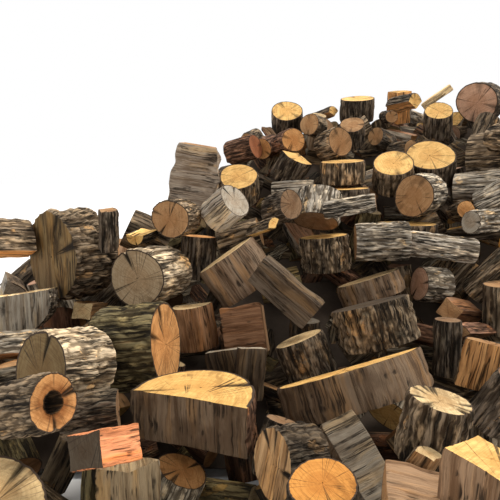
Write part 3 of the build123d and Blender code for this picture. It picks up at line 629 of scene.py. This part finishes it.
class Trunk:
    """One log as it is drawn: its worn sides, and what its two ends take from them."""

    def __init__(self, log, colours, fineness, chance, cracks, lift):
        around, rows, rings = fineness
        self.log = log
        self.colours = colours
        self.lift = lift
        ring, self.is_split, flat_edge = trunk_ring(log.outline, around)
        count = len(ring)
        self.centre = ring.mean(axis=0)
        outward = ring - self.centre
        reach = np.hypot(outward[:, 0], outward[:, 1])
        outward = outward / reach[:, None]
        size = reach.mean()

        bald = self.is_split | colours["bare"]
        deep, self.marks = side_relief(chance, rows, count, colours["depth"], bald, colours["across"])
        self.heights = np.linspace(0, log.length, rows)
        deep = eased(deep, self.heights, log.length)
        if colours["uneven"]:
            share = self.heights / log.length
            rise = share if log.along[2] > 0 else 1 - share
            deep = deep + colours["uneven"] * corner_wear(chance, rise, reach)
        self.gap, self.notch = open_cracks(outward, cracks)
        fade = np.ones(rows)
        if chance.random() < FADING_CHANCE:
            fade = LEAST_FADE + (1 - LEAST_FADE) * np.linspace(0, 1, rows) ** 2
        deep = deep + CRACK_DEPTH * size * self.notch[None, :] * fade[:, None]
        self.flat = ring[None] - outward[None] * deep[..., None]
        self.points = self.placed(self.flat, self.heights[:, None])

        self.seed = chance.random() * SEED_SPREAD
        travel = np.concatenate([[0], np.cumsum(np.hypot(*np.diff(ring, axis=0).T))])
        ways = [travel[None, :], self.heights[:, None]]
        if colours["across"]:
            ways.reverse()
        self.grains = np.empty((rows, count, 3))
        self.grains[..., 0], self.grains[..., 1] = ways
        self.grains[..., 2] = self.seed
        # The lift paints the sides paler: partly sunlight on the upper heap, partly drier wood.
        self.tone = drawn(chance, *TONE) * lift
        self.pith = pith_place(chance, log.outline, flat_edge, self.centre, size, outward[0])

        levels = np.linspace(0, 1, rings + 1)
        inner = PITH_SHARE
        if log.hollow:
            levels = np.concatenate([[0.0], np.linspace(0.05, 1, rings)])
            inner = log.hollow
        self.shares = 1 - levels * (1 - inner)

    def placed(self, flat, level):
        """Points of the log, from their places across it and their heights along it."""
        log = self.log
        across = log.middle + flat[..., :1] * log.first + flat[..., 1:] * log.second
        return across + level[..., None] * log.along

    def add_sides(self, pile):
        """Add the bark and the split faces, as strips of their own where a log has both."""
        bark, split = linear(self.colours["bark"]), linear(self.colours["split"])
        shade = np.where(self.is_split[:, None], split[None], bark[None]) * self.tone
        bark_slot = SPLIT_SLOT if self.colours["bare"] else BARK_SLOT
        for wanted, slot in ((False, bark_slot), (True, SPLIT_SLOT)):
            picked = self.is_split == wanted
            if picked.all():
                pile.grid(self.points, self.grains, shade[None], self.marks, slot, True)
                continue
            for start in np.flatnonzero(picked & ~np.roll(picked, 1)):
                stop = start + 1
                while picked[stop % len(picked)]:
                    stop += 1
                run = np.arange(start, stop + 1) % len(picked)
                tint = shade[run]
                tint[-1] = tint[0]
                grains = self.grains[:, run]
                grains[:, -1, 0] = grains[:, -2, 0] + STRIP_STEP
                pile.grid(self.points[:, run], grains, tint[None], self.marks[:, run], slot, False)

    def add_end(self, pile, top, chance):
        """Add one sawn end, from its rim in to its pith or its hole."""
        row = -1 if top else 0
        shares = self.shares[:, None]
        rings, count = len(shares), len(self.notch)
        cap = self.centre + (self.flat[row] - self.centre) * shares[..., None]
        rough = smooth_noise(chance, rings, count, *END_NOISE) - 0.5
        sink = END_ROUGH * rough + END_HOLLOW * np.linspace(0, 1, rings)[:, None] * chance.random()
        sink = sink + END_CRACK * self.notch[None, :] * shares
        sink[0] = 0
        level = self.heights[row] + (-1 if top else 1) * np.abs(sink)
        from_pith = cap - self.pith
        grains = np.empty((rings, count, 3))
        grains[..., :2] = from_pith
        grains[..., 2] = self.seed + (TOP_SEED if top else 0)

        colour = linear(self.colours["end"]) * drawn(chance, *TONE)
        # A sawn end takes a share of the same painted sunlight and drier wood.
        colour = colour * (1 + END_LIFT_SHARE * (self.lift - 1))
        least, more = CRACK_STARTS
        starts = least + more * chance.random(count)
        gape = np.clip(CRACK_FILL * self.gap[None, :], 0, 1)
        gape = gape * np.clip((shares - starts[None, :]) / CRACK_GROWS, 0, 1)
        colour = colour * (1 - CRACK_DARK * np.sqrt(gape)[..., None])
        if self.log.hollow:
            rot = np.clip((ROT_AT - shares) / ROT_WIDE, 0, 1) * (ROT_LEVEL + ROT_UNEVEN * rough)
            colour = colour * (1 - rot[..., None] * ROT_TINT)
        slot = END_SLOT
        shown = np.where(self.is_split[None, :], SPLIT_RIM * shares, shares)
        if self.colours["torn"]:
            slot = SPLIT_SLOT
            shown = gape
            upward = np.array([self.log.first[2], self.log.second[2]])
            upward = upward / np.linalg.norm(upward)
            grains[..., 0] = from_pith @ np.array([-upward[1], upward[0]])
            grains[..., 1] = from_pith @ upward
        order = slice(None) if top else slice(None, None, -1)
        points = self.placed(cap, level)
        pile.grid(points[order], grains[order], colour[order], shown[order], slot, True)

    def add_hole(self, pile):
        """Add the wall of the hole through a hollow log."""
        inside = self.centre + (self.flat - self.centre) * self.log.hollow
        wall = self.placed(inside, self.heights[:, None])
        pile.grid(wall[::-1], self.grains[::-1], linear(BROWN) * HOLE_SHADE, self.marks, SPLIT_SLOT, True)


def draw_log(pile, log, colours, fineness, chance, cracks=(), lift=1.0):
    """Add one log to a pile: its bark and split sides, its two ends and any hole."""
    trunk = Trunk(log, colours, fineness, chance, cracks, lift)
    trunk.add_sides(pile)
    for top in (False, True):
        trunk.add_end(pile, top, chance)
    if log.hollow:
        trunk.add_hole(pile)


class Finish:
    """A new procedural material, with short calls for the nodes that are used often."""

    def __init__(self, name):
        self.material = bpy.data.materials.new(name)
        self.material.use_nodes = True
        self.tree = self.material.node_tree
        self.surface = self.tree.nodes["Principled BSDF"]
        self.surface.inputs["Specular IOR Level"].default_value = WOOD_SPECULAR

    def node(self, kind, settings=(), **inputs):
        """Add a node, with its settings. An input's key is its name, or i and its number."""
        made = self.tree.nodes.new(kind)
        for key, value in dict(settings).items():
            setattr(made, key, value)
        for key, value in inputs.items():
            numbered = key[0] == "i" and key[1:].isdigit()
            socket = made.inputs[int(key[1:])] if numbered else made.inputs[key]
            if isinstance(value, bpy.types.NodeSocket):
                self.tree.links.new(value, socket)
            else:
                socket.default_value = value
        return made

    def attribute(self, name):
        return self.node("ShaderNodeAttribute", {"attribute_name": name}).outputs

    def maths(self, kind, a, b=0.0, c=0.0):
        return self.node("ShaderNodeMath", {"operation": kind}, i0=a, i1=b, i2=c).outputs[0]

    def vector_maths(self, kind, a, b, c):
        return self.node("ShaderNodeVectorMath", {"operation": kind}, i0=a, i1=b, i2=c).outputs[0]

    def times(self, a, b):
        return self.maths("MULTIPLY", a, b)

    def plus(self, a, b):
        return self.maths("ADD", a, b)

    def mix(self, share, a, b, kind="MIX"):
        settings = {"data_type": "RGBA", "blend_type": kind}
        return self.node("ShaderNodeMix", settings, i0=share, i6=a, i7=b).outputs[2]

    def tinted(self, base, red, green, blue):
        """A colour times these shares of red, green and blue."""
        return self.mix(1.0, base, (red, green, blue, 1), "MULTIPLY")

    def over(self, colour, mask, strength, top):
        """A colour with another laid over it where the mask is, at this strength."""
        return self.mix(self.times(mask, strength), colour, top)

    def step(self, value, low, high):
        """A smooth step from 0 at low to 1 at high. It falls where low is the higher one."""
        settings = {"interpolation_type": "SMOOTHSTEP"}
        return self.node("ShaderNodeMapRange", settings, i0=value, i1=low, i2=high).outputs[0]

    def lines(self, value, thin, thick):
        """Thin lines where a noise crosses its middle."""
        apart = self.maths("ABSOLUTE", self.maths("SUBTRACT", value, 0.5))
        return self.maths("SUBTRACT", 1.0, self.step(apart, thin, thick))

    def noise(self, vector, scale=1.0, detail=4.0, rough=0.6):
        inputs = {"Vector": vector, "Scale": scale, "Detail": detail, "Roughness": rough}
        return self.node("ShaderNodeTexNoise", **inputs).outputs["Fac"]

    def streaks(self, vector, across, along, apart, detail=4.0, rough=0.6):
        """Noise with so many waves in a metre across the grain and along it."""
        scaled = self.node("ShaderNodeMapping", Vector=vector, Scale=(across, along, apart))
        return self.noise(scaled.outputs[0], 1.0, detail, rough)

    def bent(self, grain, bend, amount):
        """The grain's coordinates, pushed sideways by a noise."""
        shift = self.node("ShaderNodeCombineXYZ", X=self.times(bend, amount)).outputs[0]
        return self.node("ShaderNodeVectorMath", {"operation": "ADD"}, i0=grain, i1=shift).outputs[0]

    def finish(self, colour, rough, height, strength, distance):
        """Join up the colour, the roughness and a bump, and give back the material."""
        bump = self.node("ShaderNodeBump", Strength=strength, Distance=distance, Height=height)
        self.tree.links.new(colour, self.surface.inputs["Base Color"])
        self.tree.links.new(rough, self.surface.inputs["Roughness"])
        self.tree.links.new(bump.outputs[0], self.surface.inputs["Normal"])
        return self.material


def bark_material():
    """Furrowed bark, with pale plates, patches where it has come off, moss, fissures and painted shade in
    its grooves.
    """
    bark = Finish("ridged bark")
    outputs = bark.attribute("base")
    base, groove = outputs["Color"], outputs["Alpha"]
    grain = bark.attribute("grain")["Vector"]
    bent = bark.bent(grain, bark.streaks(grain, 9, 9, 1, detail=3.0), 0.025)
    ridge = bark.streaks(bent, 46, 3.0, 1, detail=6.0)
    fine = bark.streaks(bent, 150, 16, 1, rough=0.7)
    plates = bark.streaks(bent, 24, 8, 1, rough=0.65)
    patches = bark.streaks(grain, 6, 5, 2)
    lost = bark.step(bark.streaks(bent, 7, 4.5, 3, detail=5.0, rough=0.65), 0.60, 0.64)
    warm = bark.step(bark.streaks(grain, 30, 3, 2), 0.58, 0.72)
    fissure = bark.lines(bark.streaks(bent, 27, 2.4, 1, rough=0.55), 0.012, 0.055)
    fissure = bark.times(fissure, bark.step(bark.streaks(grain, 11, 6, 2), 0.40, 0.55))

    dark = bark.tinted(base, 0.19, 0.165, 0.14)
    pale = bark.tinted(base, 2.2, 2.05, 1.8)
    bare = bark.tinted(base, 2.1, 1.6, 1.0)
    moss = (0.16, 0.15, 0.11, 1)
    ochre = (0.36, 0.22, 0.09, 1)
    black = (0.012, 0.009, 0.006, 1)
    colour = bark.mix(bark.step(ridge, 0.43, 0.53), dark, base)
    colour = bark.over(colour, bark.step(plates, 0.48, 0.70), 0.8, pale)
    colour = bark.over(colour, lost, 0.75, bare)
    colour = bark.over(colour, bark.step(fine, 0.52, 0.68), 0.55, dark)
    colour = bark.over(colour, bark.step(patches, 0.52, 0.75), 0.4, moss)
    colour = bark.over(colour, warm, 0.5, ochre)
    # Painted shade: the bark darkens where its cut grooves are deepest.
    colour = bark.over(colour, bark.step(groove, 0.55, 0.95), 0.8, dark)
    colour = bark.over(colour, fissure, 0.9, black)

    height = bark.plus(ridge, bark.times(plates, 0.8))
    height = bark.maths("MULTIPLY_ADD", fissure, -1.2, height)
    height = bark.plus(height, bark.times(fine, 0.35))
    height = bark.maths("MULTIPLY_ADD", lost, -0.5, height)
    rough = bark.maths("MULTIPLY_ADD", patches, 0.2, 0.78)
    return bark.finish(colour, rough, height, strength=1.0, distance=0.014)


def end_material():
    """A sawn end: rings and fine cracks about the pith, saw marks, stains and a dark bark line."""
    end = Finish("sawn end grain")
    outputs = end.attribute("base")
    base, rim = outputs["Color"], outputs["Alpha"]
    grain = end.attribute("grain")["Vector"]
    parts = end.node("ShaderNodeSeparateXYZ", Vector=grain).outputs
    plane = end.node("ShaderNodeCombineXYZ", X=parts[0], Y=parts[1]).outputs[0]
    distance = end.node("ShaderNodeVectorMath", {"operation": "LENGTH"}, Vector=plane).outputs["Value"]
    facing = end.node("ShaderNodeVectorMath", {"operation": "NORMALIZE"}, Vector=plane).outputs[0]
    seed = end.node("ShaderNodeCombineXYZ", Z=parts[2]).outputs[0]
    wander = end.noise(grain, 9.0, detail=3.0)
    broad = end.noise(grain, 14.0)

    ring_place = end.times(end.maths("MULTIPLY_ADD", wander, 0.05, distance), 95.0)
    ring_line = end.node("ShaderNodeCombineXYZ", X=ring_place, Z=parts[2]).outputs[0]
    rings = end.noise(ring_line, detail=3.0, rough=0.7)
    around = end.vector_maths("MULTIPLY_ADD", facing, (2.6, 2.6, 0), seed)
    crack = end.lines(end.noise(around, detail=2.0), 0.002, 0.012)
    crack = end.times(crack, end.step(end.noise(grain, 6.0), 0.40, 0.55))
    spokes = end.vector_maths("MULTIPLY_ADD", facing, (2.3, 2.3, 0), grain)
    fine = end.streaks(spokes, 9, 9, 1, detail=6.0, rough=0.75)
    turned = end.node("ShaderNodeVectorRotate", {"rotation_type": "Z_AXIS"}, Vector=grain, Angle=parts[2])
    turned = turned.outputs[0]
    saw = end.streaks(turned, 9, 260, 1, detail=3.0)
    stain = end.streaks(turned, 5, 11, 2, detail=5.0, rough=0.7)
    heart = end.step(end.maths("MULTIPLY_ADD", wander, 0.3, rim), 0.45, 0.75)
    heart = end.maths("SUBTRACT", 1.0, heart)
    edge = end.step(end.maths("MULTIPLY_ADD", wander, 0.02, rim), 0.955, 0.972)

    colour = end.over(base, end.step(rings, 0.38, 0.62), 0.5, end.tinted(base, 0.62, 0.52, 0.42))
    colour = end.over(colour, end.step(broad, 0.42, 0.72), 0.55, end.tinted(base, 0.55, 0.47, 0.40))
    colour = end.over(colour, end.step(saw, 0.46, 0.66), 0.5, end.tinted(base, 0.5, 0.42, 0.34))
    colour = end.over(colour, end.step(stain, 0.52, 0.64), 0.6, end.tinted(base, 0.36, 0.30, 0.25))
    colour = end.over(colour, heart, 0.45, end.tinted(base, 0.70, 0.56, 0.44))
    colour = end.over(colour, end.step(fine, 0.52, 0.75), 0.35, (0.05, 0.035, 0.02, 1))
    colour = end.over(colour, crack, 0.85, (0.02, 0.013, 0.008, 1))
    colour = end.mix(edge, colour, (0.055, 0.036, 0.024, 1))

    height = end.plus(rings, end.plus(fine, saw))
    height = end.maths("MULTIPLY_ADD", crack, -2.0, height)
    rough = end.maths("MULTIPLY_ADD", broad, 0.2, 0.68)
    return end.finish(colour, rough, height, strength=0.45, distance=0.003)


def split_material():
    """Split or bare wood: long fibres in bands, warm sapwood, stains, seams and drying checks."""
    wood = Finish("split wood")
    outputs = wood.attribute("base")
    base, check = outputs["Color"], outputs["Alpha"]
    grain = wood.attribute("grain")["Vector"]
    bent = wood.bent(grain, wood.streaks(grain, 6, 3, 1, detail=2.0), 0.03)
    fibre = wood.streaks(bent, 110, 5, 1, detail=6.0, rough=0.75)
    bands = wood.streaks(bent, 30, 2.2, 1, detail=5.0, rough=0.65)
    patches = wood.streaks(grain, 6, 3, 1)
    sap = wood.streaks(bent, 13, 1.6, 1)
    seam = wood.lines(wood.streaks(bent, 34, 1.3, 1), 0.006, 0.036)
    seam = wood.times(seam, wood.step(wood.streaks(grain, 9, 4, 1), 0.46, 0.56))

    dark = wood.tinted(base, 0.42, 0.35, 0.29)
    pale = wood.tinted(base, 1.4, 1.3, 1.15)
    warm = wood.tinted(base, 1.55, 1.2, 0.72)
    black = (0.02, 0.014, 0.009, 1)
    colour = wood.mix(wood.step(bands, 0.35, 0.6), dark, base)
    colour = wood.over(colour, wood.step(sap, 0.51, 0.63), 0.55, warm)
    colour = wood.over(colour, wood.step(fibre, 0.5, 0.68), 0.7, pale)
    colour = wood.over(colour, wood.step(fibre, 0.48, 0.34), 0.6, dark)
    colour = wood.over(colour, wood.step(patches, 0.50, 0.66), 0.75, dark)
    colour = wood.over(colour, seam, 0.85, black)
    colour = wood.over(colour, wood.step(check, 0.2, 0.9), 0.85, black)

    height = wood.maths("MULTIPLY_ADD", seam, -1.5, wood.plus(fibre, bands))
    rough = wood.maths("MULTIPLY_ADD", patches, 0.2, 0.7)
    return wood.finish(colour, rough, height, strength=0.8, distance=0.008)


def painted_shade_material():
    """Painted shade between the logs: a near-black surface, faintly speckled."""
    shell = Finish("painted shade middle")
    place = shell.node("ShaderNodeTexCoord").outputs["Object"]
    speck = shell.noise(place, 9.0)
    colour = shell.mix(speck, (0.03, 0.022, 0.016, 1), (0.09, 0.066, 0.048, 1))
    rough = shell.maths("MULTIPLY_ADD", speck, 0.1, 0.85)
    return shell.finish(colour, rough, speck, strength=0.5, distance=0.02)


materials = [bark_material(), end_material(), split_material()]


def fineness_of(name):
    if name.startswith(HIDDEN_NODES):
        return HIDDEN
    return FAR if name.startswith(FAR_NODES) else NEAR


def painted_sun_and_dry_lift(name, height):
    """How much paler than its look a piece is, as painted sunlight and drier wood: fully in a far node,
    elsewhere by its height.
    """
    sun_and_dryness = np.clip((height - PAINTED_SUN_AND_DRY_FROM) / (PAINTED_SUN_AND_DRY_AT - PAINTED_SUN_AND_DRY_FROM), 0, 1)
    if name.startswith(FAR_NODES):
        sun_and_dryness = 1.0
    return 1 + (PAINTED_SUN_AND_DRY_LIFT - 1) * sun_and_dryness


def pick_cracks(log, colours, fineness, chance):
    """The angles and widths of a log's drying cracks."""
    total = colours["cracks"]
    if total is None:
        whole = fineness is HIDDEN or len(log.outline) == BLOCK_CORNERS
        total = 0 if whole else int(chance.random() * MOST_CRACKS)
    widest = FAR_CRACK if fineness is FAR else 1.0
    cracks = []
    for crack in range(total):
        angle = TURN * chance.random()
        cracks.append((angle, widest * drawn(chance, *CRACK_WIDTH)))
    return cracks


def draw_node(number, name):
    """Draw every log of one node as one detailed mesh that stands in its place."""
    chance = np.random.default_rng(NODE_SEED + number)
    pile = Pile()
    fineness = fineness_of(name)
    for k, (corners, normals) in enumerate(loose_parts(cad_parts[name])):
        log = read_log(corners, normals)
        if log is None:
            print("no ends found:", name, k, len(corners))
            continue
        middle = corners.mean(axis=0)
        colours = look_for(name, middle, chance)
        cracks = pick_cracks(log, colours, fineness, chance)
        draw_log(pile, log, colours, fineness, chance, cracks, painted_sun_and_dry_lift(name, middle[2]))
    made = pile.build(name + "_wood", materials)
    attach(made, "root")
    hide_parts(name)
    return len(made.data.polygons) * 2


def inset_core(source):
    """A shell just inside the core, painted near-black as shade: each corner moves in from all the faces
    that meet there.
    """
    shell = source.data.copy()
    facing = [[] for v in shell.vertices]
    places = {}
    for v in shell.vertices:
        places.setdefault(tuple(round(c, 5) for c in v.co), []).append(v.index)
    shared = {k: members for members in places.values() for k in members}
    for face in shell.polygons:
        for k in face.vertices:
            for twin in shared[k]:
                facing[twin].append(tuple(face.normal))
    for v in shell.vertices:
        normals = np.array(facing[v.index])
        v.co = v.co + Vector(np.linalg.pinv(normals, rcond=0.05) @ np.full(len(normals), -CORE_INSET))
        v.co.z = max(v.co.z, SHELL_FLOOR)
    shell.materials.clear()
    shell.materials.append(painted_shade_material())
    inner = bpy.data.objects.new("core_middle", shell)
    bpy.context.scene.collection.objects.link(inner)
    return inner


def sunk_log(corners, normal, chance):
    """A round log at a random spot of one face of the core, just under it, if it clears the ground."""
    a, b, c = corners
    s, t = chance.random(2)
    if s + t > 1:
        s, t = 1 - s, 1 - t
    radius = drawn(chance, *SUNK_RADIUS)
    length = drawn(chance, *SUNK_LENGTH)
    level = normal.orthogonal().normalized()
    swing = TURN * chance.random()
    tilt = drawn(chance, *SUNK_TILT)
    lean = level * math.cos(swing) + normal.cross(level) * math.sin(swing) + normal * tilt
    lean.normalize()
    apart = abs(lean.dot(normal))
    depth = radius * math.sqrt(1 - apart * apart) * SUNK_BULGE + length / 2 * apart + SUNK_COVER
    spot = a + (b - a) * s + (c - a) * t - normal * depth
    low = spot - lean * length / 2
    high = spot + lean * length / 2
    if min(low.z, high.z) < radius:
        return None
    side = lean.orthogonal().normalized()
    other = lean.cross(side)
    turns = [TURN * k / SUNK_CORNERS for k in range(SUNK_CORNERS)]
    outline = np.array([(radius * math.cos(turn), radius * math.sin(turn)) for turn in turns])
    return Log(np.array(low), np.array(side), np.array(other), np.array(lean), outline, length, 0.0)


def draw_core():
    """Logs set into the core's slopes, just inside its surface, over a shell painted near-black as shade.
    """
    chance = np.random.default_rng(CORE_SEED)
    pile = Pile()
    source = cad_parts["core"]
    source.data.calc_loop_triangles()
    corners = [source.matrix_world @ v.co for v in source.data.vertices]
    sliver = 1e-4
    underside = -0.5
    for face in source.data.loop_triangles:
        a, b, c = [corners[k] for k in face.vertices]
        normal = (b - a).cross(c - a)
        area = normal.length / 2
        if area < sliver:
            continue
        normal.normalize()
        if normal.z < underside:
            continue
        for k in range(int(area / SUNK_AREA) + 1):
            log = sunk_log((a, b, c), normal, chance)
            if log is None:
                continue
            picks = chance.random(2)
            end = shaded(any_of(ANY_END, picks[0]), UNDER_SHADE)
            colours = look(end, any_of(ANY_BARK, picks[1]), BROWN, SUNK_BARK)
            draw_log(pile, log, colours, SUNK, chance)
    made = pile.build("core_logs", materials)
    inner = inset_core(source)
    for piece in (made, inner):
        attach(piece, "root")
        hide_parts("core")
    return len(made.data.polygons) * 2


total = draw_core()
for number, name in enumerate(sorted(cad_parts)):
    if name != "core":
        total += draw_node(number, name)
print("triangles", total)


def add_floor():
    """A pale level floor, a hair below the ground that the heap lies on."""
    bpy.ops.mesh.primitive_plane_add(size=FLOOR_SIZE, location=(0, 0, -FLOOR_DROP))
    floor = bpy.context.object
    floor.name = "floor"
    plain = bpy.data.materials.new("pale floor")
    plain.use_nodes = True
    surface = plain.node_tree.nodes["Principled BSDF"]
    surface.inputs["Base Color"].default_value = FLOOR_COLOUR
    surface.inputs["Roughness"].default_value = FLOOR_ROUGHNESS
    floor.data.materials.append(plain)


def add_light(scene):
    """White light from all round, and a wide soft sun from the upper right behind the heap."""
    world = bpy.data.worlds.new("studio")
    scene.world = world
    world.use_nodes = True
    background = world.node_tree.nodes["Background"]
    background.inputs["Color"].default_value = (1, 1, 1, 1)
    background.inputs["Strength"].default_value = 1.0
    sun = bpy.data.objects.new("sun", bpy.data.lights.new("sun", "SUN"))
    sun.data.energy = SUN_STRENGTH
    sun.data.angle = SUN_WIDTH
    sun.data.color = SUN_COLOUR
    sun.rotation_euler = SUN_WAY.to_track_quat("-Z", "Y").to_euler()
    scene.collection.objects.link(sun)


def add_camera(scene):
    """The eye that took the photograph."""
    camera = bpy.data.objects.new("camera", bpy.data.cameras.new("camera"))
    camera.location = EYE
    camera.rotation_euler = (math.pi / 2 - EYE_PITCH, 0, 0)
    camera.data.lens = LENS
    camera.data.sensor_width = SENSOR
    camera.data.clip_end = 100
    scene.collection.objects.link(camera)
    scene.camera = camera


add_floor()
add_light(bpy.context.scene)
add_camera(bpy.context.scene)
bpy.context.scene.view_settings.view_transform = "Standard"
